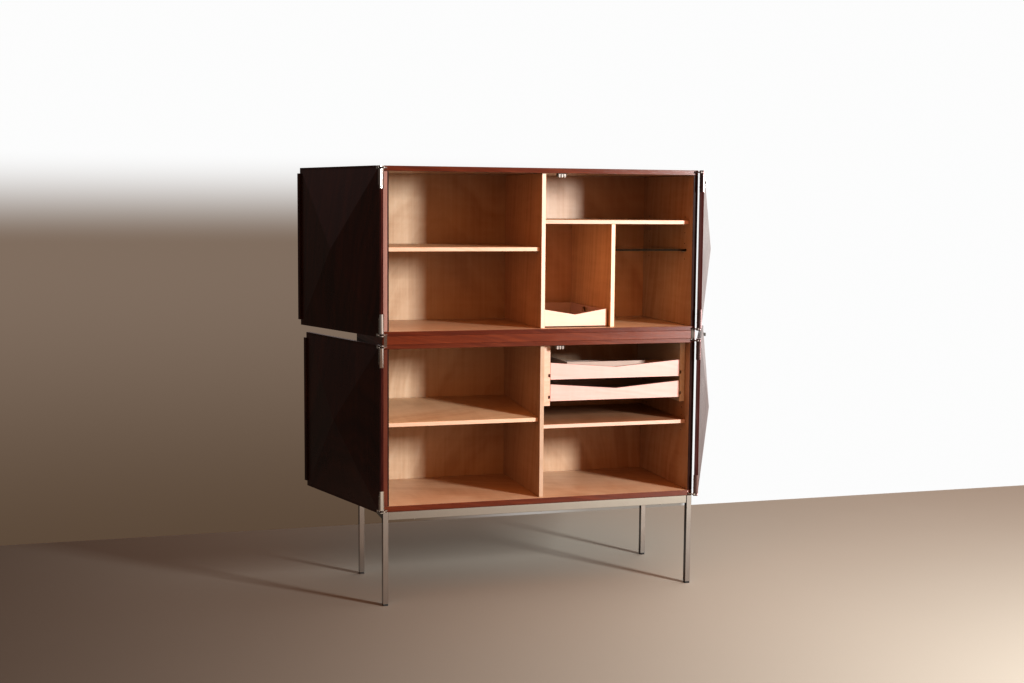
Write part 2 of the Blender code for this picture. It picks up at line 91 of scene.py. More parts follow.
# ================================================================ node helpers
class Graph:
    """Short calls for building a node tree."""

    def __init__(self, tree):
        self.tree = tree

    def add(self, kind, values=None, **settings):
        node = self.tree.nodes.new(kind)
        for key, value in settings.items():
            setattr(node, key, value)
        for key, value in (values or {}).items():
            self.put(node.inputs[key], value)
        return node

    def put(self, socket, value):
        if isinstance(value, bpy.types.NodeSocket):
            self.tree.links.new(value, socket)
        elif value is not None:
            socket.default_value = value

    def math(self, how, a, b=None, c=None, clamp=False):
        node = self.add("ShaderNodeMath", operation=how, use_clamp=clamp)
        for socket, value in zip(node.inputs, (a, b, c)):
            self.put(socket, value)
        return node.outputs[0]

    def vector(self, how, a, b=None, scale=None):
        node = self.add("ShaderNodeVectorMath", operation=how)
        self.put(node.inputs[0], a)
        self.put(node.inputs[1], b)
        if scale is not None:
            self.put(node.inputs["Scale"], scale)
        return node.outputs["Value" if how in ("LENGTH", "DOT_PRODUCT", "DISTANCE") else "Vector"]

    def mix(self, factor, a, b, how="MIX"):
        node = self.add("ShaderNodeMix", data_type="RGBA", blend_type=how, clamp_factor=True)
        self.put(node.inputs[0], factor)
        self.put(node.inputs[6], a)
        self.put(node.inputs[7], b)
        return node.outputs[2]

    def step(self, value, low, high, out_low=0.0, out_high=1.0):
        node = self.add("ShaderNodeMapRange", interpolation_type="SMOOTHSTEP", clamp=True)
        for socket, v in zip(node.inputs, (value, low, high, out_low, out_high)):
            self.put(socket, v)
        return node.outputs[0]

    def noise(self, vector, scale=1.0, detail=2.0, rough=0.5, dimensions="3D", w=None, out="Fac"):
        node = self.add("ShaderNodeTexNoise", noise_dimensions=dimensions)
        if vector is not None:
            self.put(node.inputs["Vector"], vector)
        if w is not None:
            self.put(node.inputs["W"], w)
        self.put(node.inputs["Scale"], scale)
        self.put(node.inputs["Detail"], detail)
        self.put(node.inputs["Roughness"], rough)
        return node.outputs[out]

    def scaled(self, vector, sx, sy, sz):
        return self.vector("MULTIPLY", vector, (sx, sy, sz))


def rgba(colour):
    return (*colour, 1.0)


def group(name, inputs, outputs):
    tree = bpy.data.node_groups.new(name, "ShaderNodeTree")
    for label, kind, value in inputs:
        socket = tree.interface.new_socket(name=label, in_out="INPUT", socket_type=kind)
        if value is not None:
            socket.default_value = value
    for label, kind in outputs:
        tree.interface.new_socket(name=label, in_out="OUTPUT", socket_type=kind)
    g = Graph(tree)
    return tree, g, g.add("NodeGroupInput").outputs, g.add("NodeGroupOutput").inputs


COLOR, FLOAT, VECTOR = "NodeSocketColor", "NodeSocketFloat", "NodeSocketVector"


def timber_group():
    """Sliced veneer: rings cut at a slant, streaks, fibres, pores. The grain runs along the vector's Z."""
    tree, g, i, o = group(
        "timber",
        [
            ("Vector", VECTOR, None), ("Dark", COLOR, None), ("Middle", COLOR, None), ("Pale", COLOR, None),
            ("Rings", FLOAT, 70.0), ("Ring Amount", FLOAT, 0.5), ("Streak Amount", FLOAT, 0.5),
            ("Mottle Amount", FLOAT, 0.3), ("Pore Amount", FLOAT, 0.3), ("Fibre Amount", FLOAT, 0.1),
            ("Curl Amount", FLOAT, 0.0),
        ],
        [("Color", COLOR), ("Height", FLOAT), ("Gloss", FLOAT)],
    )
    p = i["Vector"]
    warp = g.noise(g.scaled(p, 3.1, 3.1, 1.1), 1.0, 3.0, 0.55, out="Color")
    warp = g.vector("MULTIPLY", g.vector("SUBTRACT", warp, (0.5, 0.5, 0.5)), (0.11, 0.11, 0.0))
    q = g.vector("ADD", p, warp)
    parts = g.add("ShaderNodeSeparateXYZ", {"Vector": q}).outputs
    slant = g.math("ADD", g.math("MULTIPLY", parts[2], 0.16), 0.05)
    deep = g.math("ADD", parts[1], slant)
    radius = g.math("SQRT", g.math("ADD", g.math("MULTIPLY", parts[0], parts[0]), g.math("MULTIPLY", deep, deep)))
    ring = g.noise(None, 1.0, 2.5, 0.6, "1D", g.math("MULTIPLY", radius, i["Rings"]))
    streak = g.noise(g.scaled(p, 62.0, 62.0, 1.3), 1.0, 5.0, 0.62)
    mottle = g.noise(g.scaled(q, 7.0, 7.0, 3.0), 1.0, 3.0, 0.5)
    curl = g.noise(g.scaled(q, 7.0, 7.0, 42.0), 1.0, 2.0, 0.5)
    fibre = g.noise(g.scaled(p, 900.0, 900.0, 16.0), 1.0, 2.0, 0.6)
    pores = g.noise(g.scaled(p, 1300.0, 1300.0, 42.0), 1.0, 1.0, 0.5)
    pore = g.step(pores, 0.60, 0.72)

    def swing(value, amount):
        return g.math("MULTIPLY", g.math("SUBTRACT", value, 0.5), g.math("MULTIPLY", amount, 2.2))

    tone = g.math("ADD", swing(ring, i["Ring Amount"]), swing(streak, i["Streak Amount"]))
    tone = g.math("ADD", tone, swing(mottle, i["Mottle Amount"]))
    tone = g.math("ADD", tone, swing(curl, i["Curl Amount"]))
    tone = g.math("ADD", tone, 0.5, clamp=True)
    colour = g.mix(g.math("MULTIPLY", tone, 2.0, clamp=True), i["Dark"], i["Middle"])
    colour = g.mix(g.math("SUBTRACT", g.math("MULTIPLY", tone, 2.0), 1.0, clamp=True), colour, i["Pale"])
    colour = g.mix(g.math("MULTIPLY", g.math("SUBTRACT", 1.0, fibre), i["Fibre Amount"]), colour, i["Dark"])
    colour = g.mix(g.math("MULTIPLY", pore, i["Pore Amount"]), colour, g.mix(0.55, i["Dark"], rgba((0, 0, 0)), "MIX"))
    height = g.math("SUBTRACT", g.math("ADD", g.math("MULTIPLY", fibre, 0.35), g.math("MULTIPLY", streak, 0.25)), g.math("MULTIPLY", pore, g.math("ADD", i["Pore Amount"], 0.1)))
    gloss = g.math("ADD", g.math("MULTIPLY", mottle, 0.5), g.math("MULTIPLY", fibre, 0.5))
    for label, value in (("Color", colour), ("Height", height), ("Gloss", gloss)):
        g.put(o[label], value)
    return tree


def rim_group():
    """How far a point on a squared board is from its nearest arris."""
    tree, g, i, o = group("rim", [("Vector", VECTOR, None), ("Middle", VECTOR, None), ("Half", VECTOR, None)], [("Distance", FLOAT)])
    inset = g.vector("SUBTRACT", i["Half"], g.vector("ABSOLUTE", g.vector("SUBTRACT", i["Vector"], i["Middle"])))
    a, b, c = g.add("ShaderNodeSeparateXYZ", {"Vector": inset}).outputs
    least = g.math("MINIMUM", a, g.math("MINIMUM", b, c))
    most = g.math("MAXIMUM", a, g.math("MAXIMUM", b, c))
    total = g.math("ADD", a, g.math("ADD", b, c))
    g.put(o["Distance"], g.math("SUBTRACT", total, g.math("ADD", least, most)))
    return tree


TIMBER, RIM = timber_group(), rim_group()

# ================================================================ colours
BIRCH = dict(
    Dark=(0.345, 0.200, 0.115), Middle=(0.455, 0.310, 0.208), Pale=(0.530, 0.395, 0.290),
    Rings=46.0, ring=0.34, streak=0.24, mottle=0.34, pore=0.10, fibre=0.10, curl=0.20,
)
FLOORING = dict(BIRCH, Dark=(0.480, 0.285, 0.165), Middle=(0.610, 0.415, 0.275), Pale=(0.690, 0.505, 0.360))
BACK = dict(BIRCH, Rings=30.0, ring=0.46, streak=0.32, mottle=0.40, curl=0.14)


def tinted(look, red, green, blue):
    """The same wood in a sheet of another tone."""
    return dict(look, **{k: (look[k][0] * red, look[k][1] * green, look[k][2] * blue) for k in ("Dark", "Middle", "Pale")})


# Per-bay copies of the back veneer, each lighter, warmer or cooler: painted light that evens out how much light reaches
# each bay.
BACKS_PAINTED_LIGHT = {
    "upper_left": tinted(BACK, 1.06, 1.13, 1.14), "upper_right": tinted(BACK, 1.02, 1.08, 1.20),
    "lower_left": tinted(BACK, 1.10, 1.19, 1.22), "lower_right": tinted(BACK, 1.02, 1.02, 1.00),
}
LIPPING = dict(
    Dark=(0.495, 0.322, 0.220), Middle=(0.600, 0.418, 0.322), Pale=(0.665, 0.490, 0.395),
    Rings=90.0, ring=0.26, streak=0.26, mottle=0.26, pore=0.06, fibre=0.08, curl=0.10,
)
MAPLE = dict(
    Dark=(0.490, 0.310, 0.245), Middle=(0.585, 0.385, 0.325), Pale=(0.650, 0.450, 0.395),
    Rings=60.0, ring=0.20, streak=0.20, mottle=0.20, pore=0.05, fibre=0.08, curl=0.12,
)
TRAY_FACE = dict(MAPLE, Dark=(0.52, 0.385, 0.300), Middle=(0.615, 0.468, 0.395), Pale=(0.675, 0.528, 0.462))
ROSEWOOD = dict(
    Dark=(0.012, 0.0055, 0.0050), Middle=(0.030, 0.0125, 0.0105), Pale=(0.055, 0.022, 0.017),
    Rings=52.0, ring=0.46, streak=0.46, mottle=0.30, pore=0.55, fibre=0.25, curl=0.05,
)
MAHOGANY = dict(
    Dark=(0.056, 0.0104, 0.0044), Middle=(0.114, 0.0250, 0.0094), Pale=(0.178, 0.047, 0.018),
    Rings=80.0, ring=0.30, streak=0.36, mottle=0.26, pore=0.35, fibre=0.16, curl=0.06,
)


def seed_of(name):
    return sum((k + 3) * ord(c) for k, c in enumerate(name))


def place(g, name, grain, turn=0.0, pivot=(0, 0, 0)):
    """Object coordinates, in the board's own layout, and the same turned so that the grain is along Z."""
    coord = g.add("ShaderNodeTexCoord").outputs
    local, normal = coord["Object"], coord["Normal"]
    if turn:
        local = g.add("ShaderNodeVectorRotate", {"Vector": local, "Center": tuple(pivot), "Angle": turn}, rotation_type="Z_AXIS").outputs[0]
        local = g.vector("SUBTRACT", local, (pivot[0], pivot[1], 0.0))
        normal = g.add("ShaderNodeVectorRotate", {"Vector": normal, "Center": (0, 0, 0), "Angle": turn}, rotation_type="Z_AXIS").outputs[0]
    x, y, z = g.add("ShaderNodeSeparateXYZ", {"Vector": local}).outputs
    order = {"X": (y, z, x), "Y": (x, z, y), "Z": (x, y, z)}[grain]
    n = seed_of(name)
    along = g.add("ShaderNodeCombineXYZ", dict(zip(("X", "Y", "Z"), order))).outputs[0]
    along = g.vector("ADD", along, (((n * 0.37) % 0.60) - 0.30, ((n * 0.173) % 0.12) - 0.06 + 0.10, (n * 0.731) % 3.0))
    return local, normal, along


def timber(g, vector, look):
    values = {"Vector": vector, "Rings": look["Rings"], "Ring Amount": look["ring"], "Streak Amount": look["streak"],
              "Mottle Amount": look["mottle"], "Pore Amount": look["pore"], "Fibre Amount": look["fibre"], "Curl Amount": look["curl"]}
    for key in ("Dark", "Middle", "Pale"):
        values[key] = rgba(look[key])
    return g.add("ShaderNodeGroup", values, node_tree=TIMBER).outputs


def wood(name, skin, grain, faces=(), turn=0.0, pivot=(0, 0, 0), box=None, rough=0.42, coat=0.0, coat_rough=0.2,
         spec=0.5, wear=None, wear_amount=0.5, bump=0.12, bands=(), dull=None, across=None):
    """A veneered board. skin covers it, and each of faces = (direction, look, grain) covers what faces that way.
    bands = (low corner, high corner, look) repaint a region of the board's own layout, with the gloss level dull.
    across = the direction square to the grain in which a highlight spreads."""
    made = bpy.data.materials.new(name)
    made.use_nodes = True
    g = Graph(made.node_tree)
    shader = made.node_tree.nodes["Principled BSDF"]
    local, normal, along = place(g, name, grain, turn, pivot)
    out = timber(g, along, skin)
    colour, height, gloss = out["Color"], out["Height"], out["Gloss"]
    for k, (direction, look, way) in enumerate(faces):
        vector = place(g, f"{name}{k}", way, turn, pivot)[2]
        other = timber(g, vector, look)
        facing = g.step(g.vector("DOT_PRODUCT", normal, direction), 0.80, 0.90)
        colour = g.mix(facing, colour, other["Color"])
        height = g.math("ADD", g.math("MULTIPLY", height, g.math("SUBTRACT", 1.0, facing)), g.math("MULTIPLY", other["Height"], facing))
    x, y, z = g.add("ShaderNodeSeparateXYZ", {"Vector": local}).outputs
    level = None
    for low, high, look, way in bands:
        vector = place(g, f"{name}{low}", way, turn, pivot)[2]
        other = timber(g, vector, look)
        inside = None
        for value, a, b in zip((x, y, z), low, high):
            for edge, sense in ((a, 1), (b, -1)):
                if edge is None:
                    continue
                side = g.step(value, edge - 0.0003, edge + 0.0003, 0.0 if sense > 0 else 1.0, 1.0 if sense > 0 else 0.0)
                inside = side if inside is None else g.math("MULTIPLY", inside, side)
        colour = g.mix(inside, colour, other["Color"])
        if dull is not None:
            level = inside if level is None else g.math("MAXIMUM", level, inside)
    if box is not None:
        low, high = box
        middle, half = (low + high) / 2, (high - low) / 2
        rim = g.add("ShaderNodeGroup", {"Vector": local, "Middle": tuple(middle), "Half": tuple(half)}, node_tree=RIM).outputs[0]
        patches = g.noise(g.scaled(local, 38.0, 38.0, 38.0), 1.0, 4.0, 0.6)
        worn = g.math("MULTIPLY", g.step(rim, 0.0001, 0.0022, 1.0, 0.0), g.step(patches, 0.42, 0.66))
        colour = g.mix(g.math("MULTIPLY", worn, wear_amount), colour, rgba(wear or skin["Pale"]))
        gloss = g.math("ADD", gloss, g.math("MULTIPLY", worn, 0.35))
    smudge = g.noise(g.scaled(local, 9.0, 9.0, 9.0), 1.0, 4.0, 0.65)
    gloss = g.math("ADD", g.math("MULTIPLY", gloss, 0.6), g.math("MULTIPLY", smudge, 0.4))
    g.put(shader.inputs["Base Color"], colour)
    g.put(shader.inputs["Roughness"], g.step(gloss, 0.25, 0.80, rough - 0.07, rough + 0.09))
    shader.inputs["IOR"].default_value = 1.50
    shader.inputs["Specular IOR Level"].default_value = spec
    if level is not None:
        g.put(shader.inputs["Specular IOR Level"], g.step(level, 0.0, 1.0, spec, dull))
    if across is not None:
        shader.inputs["Anisotropic"].default_value = 0.75
        g.put(shader.inputs["Tangent"], g.add("ShaderNodeCombineXYZ", dict(zip(("X", "Y", "Z"), across))).outputs[0])
    shader.inputs["Coat Weight"].default_value = coat
    shader.inputs["Coat Roughness"].default_value = coat_rough
    dent = g.add("ShaderNodeBump", {"Height": height, "Strength": bump, "Distance": 0.0006})
    g.put(shader.inputs["Normal"], dent.outputs[0])
    return made


def metal(name, colour, rough, grain="Z", brush=0.5, turn=0.0, pivot=(0, 0, 0), spots=0.0, crown=None, painted_shade_side=None):
    """Plated metal with drawn lines along the grain and a few dull patches. crown = (middle, curve) rounds the
    surface across Y in the piece's own layout. The last argument, (direction, level), darkens what faces that way to
    that level: a painted shade."""
    made = bpy.data.materials.new(name)
    made.use_nodes = True
    g = Graph(made.node_tree)
    shader = made.node_tree.nodes["Principled BSDF"]
    local, normal, along = place(g, name, grain, turn, pivot)
    lines = g.noise(g.scaled(along, 1500.0, 1500.0, 22.0), 1.0, 2.0, 0.6)
    haze = g.noise(g.scaled(local, 26.0, 26.0, 26.0), 1.0, 5.0, 0.62)
    pits = g.step(g.noise(g.scaled(local, 420.0, 420.0, 420.0), 1.0, 1.0, 0.5), 0.70, 0.78)
    tone = g.mix(g.math("MULTIPLY", haze, 0.5), rgba(colour), rgba([c * 0.82 for c in colour]))
    tone = g.mix(g.math("MULTIPLY", pits, spots), tone, rgba([c * 0.35 for c in colour]))
    # painted shade: what faces the given direction is darkened
    if painted_shade_side is not None:
        facing = g.step(g.vector("DOT_PRODUCT", normal, painted_shade_side[0]), 0.60, 0.85)
        tone = g.mix(facing, tone, rgba([c * painted_shade_side[1] for c in colour]))
    g.put(shader.inputs["Base Color"], tone)
    shader.inputs["Metallic"].default_value = 1.0
    level = g.math("ADD", g.math("MULTIPLY", lines, 0.4 * brush), g.math("MULTIPLY", haze, 0.6))
    g.put(shader.inputs["Roughness"], g.step(level, 0.2, 0.8, rough * 0.75, rough * 1.45))
    dent = g.add("ShaderNodeBump", {"Height": lines, "Strength": 0.10 * brush, "Distance": 0.0002})
    if crown is not None:
        off = g.math("SUBTRACT", g.add("ShaderNodeSeparateXYZ", {"Vector": local}).outputs[1], crown[0])
        arch = g.add("ShaderNodeBump", {"Height": g.math("MULTIPLY", g.math("MULTIPLY", off, off), -crown[1]), "Strength": 1.0, "Distance": 1.0})
        g.put(dent.inputs["Normal"], arch.outputs[0])
    g.put(shader.inputs["Normal"], dent.outputs[0])
    return made


def rubber(name, colour=(0.018, 0.017, 0.016), rough=0.72):
    made = bpy.data.materials.new(name)
    made.use_nodes = True
    g = Graph(made.node_tree)
    shader = made.node_tree.nodes["Principled BSDF"]
    local = g.add("ShaderNodeTexCoord").outputs["Object"]
    fine = g.noise(g.scaled(local, 900.0, 900.0, 900.0), 1.0, 3.0, 0.6)
    dust = g.noise(g.scaled(local, 60.0, 60.0, 60.0), 1.0, 4.0, 0.6)
    g.put(shader.inputs["Base Color"], g.mix(g.step(dust, 0.45, 0.8, 0.0, 0.5), rgba(colour), rgba([c * 4 + 0.02 for c in colour])))
    g.put(shader.inputs["Roughness"], g.step(fine, 0.2, 0.8, rough - 0.1, rough + 0.12))
    g.put(shader.inputs["Normal"], g.add("ShaderNodeBump", {"Height": fine, "Strength": 0.25, "Distance": 0.0003}).outputs[0])
    return made


def glass(name):
    """Clear float glass: the sheet is colourless, and its ground edges are a deep green."""
    made = bpy.data.materials.new(name)
    made.use_nodes = True
    g = Graph(made.node_tree)
    shader = made.node_tree.nodes["Principled BSDF"]
    coord = g.add("ShaderNodeTexCoord").outputs
    _, _, up = g.add("ShaderNodeSeparateXYZ", {"Vector": coord["Normal"]}).outputs
    flat = g.step(g.math("ABSOLUTE", up), 0.80, 0.92)
    haze = g.noise(g.scaled(coord["Object"], 14.0, 14.0, 14.0), 1.0, 5.0, 0.65)
    grind = g.noise(g.scaled(coord["Object"], 700.0, 700.0, 120.0), 1.0, 2.0, 0.5)
    g.put(shader.inputs["Base Color"], g.mix(flat, rgba((0.012, 0.009, 0.005)), rgba((0.90, 0.96, 0.93))))
    rough = g.math("ADD", g.step(haze, 0.45, 0.85, 0.012, 0.07), g.math("MULTIPLY", g.math("SUBTRACT", 1.0, flat), g.step(grind, 0.2, 0.8, 0.10, 0.28)))
    g.put(shader.inputs["Roughness"], rough)
    g.put(shader.inputs["Transmission Weight"], flat)
    g.put(shader.inputs["Specular IOR Level"], g.step(flat, 0.0, 1.0, 0.03, 0.5))
    shader.inputs["IOR"].default_value = 1.52
    return made


# ================================================================ materials on the CAD nodes
def dress(name, made):
    node = nodes[name]
    if not node.material_slots:
        node.data.materials.append(made)
    for slot in node.material_slots:
        slot.material = made


FRONT, REAR = (0, -1, 0), (0, 1, 0)
UP, DOWN, RIGHTWARD, LEFTWARD = (0, 0, 1), (0, 0, -1), (1, 0, 0), (-1, 0, 0)
LACQUER = dict(rough=0.34, spec=0.24)
SATIN = dict(rough=0.46, spec=0.35)

# Front edges of the left side panels: the upper one is painted pale pink, a painted highlight; the lower one is plain
# dull mahogany.
SHEEN_PAINTED_EDGE = dict(MAHOGANY, Dark=(0.20, 0.105, 0.085), Middle=(0.31, 0.185, 0.160), Pale=(0.39, 0.25, 0.22), Rings=60.0)
DULL_EDGE = dict(MAHOGANY, Dark=(0.075, 0.020, 0.011), Middle=(0.125, 0.037, 0.021), Pale=(0.170, 0.056, 0.034))
DARK_WEAR = (0.30, 0.14, 0.06)

for tag in ("upper", "lower"):
    for hand, inward in (("left", RIGHTWARD), ("right", LEFTWARD)):
        name = f"{tag}_side_{hand}"
        # The right side panels keep near-black rosewood on their front edges: painted shade.
        edge = {"upper_side_left": SHEEN_PAINTED_EDGE, "lower_side_left": DULL_EDGE}.get(name, ROSEWOOD)
        dress(name, wood(name, ROSEWOOD, "Z", faces=[(FRONT, edge, "Z"), (inward, BIRCH, "Z")], box=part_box(name),
                         wear=MAHOGANY["Pale"], wear_amount=0.25 if hand == "left" else 0.10, **(LACQUER if hand == "left" else dict(LACQUER, spec=0.04))))
    for level, inward in (("bottom", UP), ("top", DOWN)):
        name = f"{tag}_{level}"
        outer = ROSEWOOD if name == "upper_top" else MAHOGANY
        dress(name, wood(name, outer, "X", faces=[(FRONT, tinted(MAHOGANY, 0.86, 0.74, 0.68) if name == "upper_bottom" else MAHOGANY, "X"), (inward, FLOORING if level == "bottom" else BIRCH, "X")], box=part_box(name),
                         wear=MAHOGANY["Pale"], wear_amount=0.5, across=(0, 0, 1), **dict(LACQUER, spec=0.34)))
    inner = CORNER[1] + 0.489
    right_half = [((CORNER[0] + 0.600, None, None), (None, inner, None), BACKS_PAINTED_LIGHT[tag + "_right"], "Z")]
    if tag == "upper":
        # painted bounce light: a lighter, warmer copy of the back veneer on the upper right bay below its shelf
        right_half.append(((CORNER[0] + 0.600, None, None), (None, inner, 1.368), tinted(BACK, 1.36, 1.26, 1.10), "Z"))
    dress(f"{tag}_back", wood(f"{tag}_back", BACKS_PAINTED_LIGHT[tag + "_left"], "Z", bands=right_half, rough=0.52, bump=0.10))
    name = f"{tag}_divider"
    # The upper divider's front edge is painted lighter and cooler, a painted light; the lower one's is painted darker,
    # a painted shade.
    edge = tinted(LIPPING, 1.09, 1.20, 1.32) if tag == "upper" else tinted(LIPPING, 0.70, 0.77, 0.76)
    # Painted bounce light: the upper divider's faces are lighter, warmer copies of the birch; the lower divider's are
    # plain birch.
    right_face = tinted(BIRCH, 1.35, 1.28, 1.15) if tag == "upper" else BIRCH
    left_face = tinted(BIRCH, 1.18, 1.06, 0.92) if tag == "upper" else BIRCH
    dress(name, wood(name, left_face, "Z", faces=[(FRONT, edge, "Z"), (RIGHTWARD, right_face, "Z")], box=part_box(name), wear=DARK_WEAR, wear_amount=0.25, **SATIN))
dress("spacer_board", wood("spacer_board", tinted(MAHOGANY, 1.20, 1.16, 0.95), "X", box=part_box("spacer_board"), wear=MAHOGANY["Pale"], across=(0, 0, 1),
                           **dict(LACQUER, spec=0.40)))
for name in ("shelf_upper_left", "shelf_lower_left", "shelf_upper_right", "shelf_lower_right"):
    edge = {"shelf_upper_right": tinted(LIPPING, 0.97, 0.92, 0.98), "shelf_lower_right": tinted(LIPPING, 0.90, 0.96, 1.05)}.get(name, tinted(LIPPING, 0.98, 1.03, 1.04))
    # The lower right shelf's top is painted darker, a painted shadow of the trays above it.
    top = tinted(FLOORING, 0.58, 0.47, 0.40) if name == "shelf_lower_right" else tinted(FLOORING, 0.98, 1.03, 1.00)
    dress(name, wood(name, top, "X", faces=[(FRONT, edge, "X")], box=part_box(name), wear=DARK_WEAR, wear_amount=0.30, **SATIN))
# Painted bounce light: the subdivider's faces are a much lighter, warmer copy of the birch.
dress("subdivider", wood("subdivider", tinted(BIRCH, 1.48, 1.38, 1.16), "Z", faces=[(FRONT, tinted(LIPPING, 1.08, 1.22, 1.25), "Z")], box=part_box("subdivider"),
                         wear=DARK_WEAR, wear_amount=0.25, **SATIN))
dress("glass_shelf", glass("glass_shelf_clear"))
for name in ("tray_guide_left", "tray_guide_right"):
    # The right guide is painted paler and cooler than the left, a painted light on it.
    look = tinted(LIPPING, 0.92, 0.94, 0.97) if name.endswith("left") else tinted(LIPPING, 0.92, 1.22, 1.38)
    dress(name, wood(name, look, "Y", box=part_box(name), wear=DARK_WEAR, wear_amount=0.3, **SATIN))
for name in ("tray_upper_front", "tray_lower_front"):
    dress(name, wood(name, tinted(MAPLE, 0.93, 1.00, 1.10), "X", box=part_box(name), wear=DARK_WEAR, wear_amount=0.20, **SATIN))
for name in ("tray_upper_box", "tray_lower_box"):
    dress(name, wood(name, tinted(MAPLE, 0.78, 0.90, 0.90), "X", box=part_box(name), wear=DARK_WEAR, wear_amount=0.3, **SATIN))
dress("bar_tray", wood("bar_tray", MAPLE, "X", faces=[(FRONT, TRAY_FACE, "X"), (RIGHTWARD, MAPLE, "Y"), (LEFTWARD, MAPLE, "Y")], box=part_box("bar_tray"),
                       wear=DARK_WEAR, wear_amount=0.3, **SATIN))

for tag, (left, opened, bottom, top) in DOORS.items():
    turn = math.radians(opened if left else -opened)
    pivot = PIVOT_LEFT if left else PIVOT_RIGHT
    name = "door_" + tag
    if left:
        stripe = dict(ROSEWOOD, Dark=(0.008, 0.0030, 0.0025), Middle=(0.018, 0.0060, 0.0050), Pale=(0.032, 0.0115, 0.009))
        purple = dict(ROSEWOOD, Dark=(0.020, 0.0055, 0.0045), Middle=(0.045, 0.0120, 0.0095), Pale=(0.075, 0.022, 0.017))
    else:
        stripe = dict(MAHOGANY, Dark=(0.035, 0.0100, 0.0090), Middle=(0.065, 0.0190, 0.0170), Pale=(0.100, 0.034, 0.030))
        purple = dict(ROSEWOOD, Dark=(0.035, 0.0150, 0.0150), Middle=(0.070, 0.0330, 0.0330), Pale=(0.110, 0.056, 0.055))
    edge_at = 0.0012
    edge_low, edge_high = (None, edge_at) if left else (-edge_at, None)
    bands = [
        ((edge_low, None, None), (edge_high, None, None), purple, "Z"),
        ((edge_low, 0.0090, None), (edge_high, LEAF, None), stripe, "Z"),
    ]
    shine = 0.95 if tag == "upper_right" else 0.50
    dress(name, wood(name, ROSEWOOD, "Z", turn=turn, pivot=pivot, bands=bands, dull=0.0 if left else 0.05, rough=0.30, spec=shine, bump=0.08))
    if left:
        dress(f"meeting_strip_{tag}", wood(f"meeting_strip_{tag}", ROSEWOOD, "Z", turn=turn, pivot=pivot, rough=0.34, spec=0.40))
    for end in ("top", "bottom"):
        # The right leaves' fittings are painted dark maroon, a painted shade; the left ones are plain nickel.
        plating = (0.64, 0.61, 0.58) if left else (0.32, 0.21, 0.205)
        dress(f"hinge_{tag}_{end}", metal(f"hinge_{tag}_{end}", plating, 0.08 if left else 0.30, turn=turn, pivot=pivot, spots=0.5, crown=(LEAF / 2, 32.0)))

for name in nodes:
    if name.startswith("pivot_"):
        # The middle left bracket is painted a pinker brown, a painted reflection.
        dress(name, metal(name, (0.64, 0.50, 0.44) if name == "pivot_bracket_middle_left" else (0.70, 0.67, 0.63), 0.12, "X", spots=0.4))
    elif name.startswith("leg_"):
        # The front right leg is painted darker, a painted shade; each leg's left-facing side is painted dark, a painted
        # shade.
        plating = (0.60, 0.58, 0.575) if name == "leg_front_right" else (0.72, 0.70, 0.69)
        dress(name, metal(name, plating, 0.06, "Z", brush=0.5, spots=0.7, painted_shade_side=(LEFTWARD, 0.20)))
    elif name.startswith("base_rail_"):
        dress(name, metal(name, (0.66, 0.64, 0.61), 0.07, "Y" if name.endswith(("left", "right")) else "X", brush=0.7, spots=0.5))
    elif name.startswith("foot_pad_"):
        dress(name, rubber(name))
    elif name.startswith("catch_"):
        dress(name, rubber(name, (0.16, 0.15, 0.14), 0.40))


# ================================================================ small hardware
def piece(name, shape, body, finish, smooth=None, bevel=0.0):
    mesh = bpy.data.meshes.new(name)
    bmesh.ops.recalc_face_normals(shape, faces=shape.faces)
    shape.to_mesh(mesh)
    shape.free()
    made = bpy.data.objects.new(name, mesh)
    bpy.context.scene.collection.objects.link(made)
    for material in finish if isinstance(finish, (list, tuple)) else [finish]:
        mesh.materials.append(material)
    if bevel:
        rounded = made.modifiers.new("rounded_edges", "BEVEL")
        rounded.width = bevel
        rounded.segments = 2
        rounded.limit_method = "ANGLE"
        rounded.angle_limit = math.radians(30)
    if smooth is not None:
        mesh.shade_smooth()
        mesh.set_sharp_from_angle(angle=math.radians(smooth))
    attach(made, body)
    return made


def turned(shape, profile, matrix, sides=24, slot=None):
    """A turned solid about Z from (radius, height) pairs, closed at both ends."""
    rings = []
    for radius, height in profile:
        if radius <= 0:
            rings.append([shape.verts.new(matrix @ Vector((0, 0, height)))])
        else:
            rings.append([
                shape.verts.new(matrix @ Vector((radius * math.cos(2 * math.pi * k / sides), radius * math.sin(2 * math.pi * k / sides), height)))
                for k in range(sides)
            ])
    for low, high in zip(rings, rings[1:]):
        for k in range(sides):
            n = (k + 1) % sides
            if len(low) == 1:
                shape.faces.new((low[0], high[n], high[k]))
            elif len(high) == 1:
                shape.faces.new((low[k], low[n], high[0]))
            else:
                shape.faces.new((low[k], low[n], high[n], high[k]))
    if len(rings[0]) > 1:
        shape.faces.new(list(reversed(rings[0])))
    if len(rings[-1]) > 1:
        shape.faces.new(rings[-1])


def toward(origin, axis, spin=0.0):
    """A matrix that stands Z at origin along axis."""
    turn = Vector(axis).to_track_quat("Z", "Y").to_matrix().to_4x4()
    return Matrix.Translation(Vector(origin)) @ turn @ Matrix.Rotation(spin, 4, "Z")


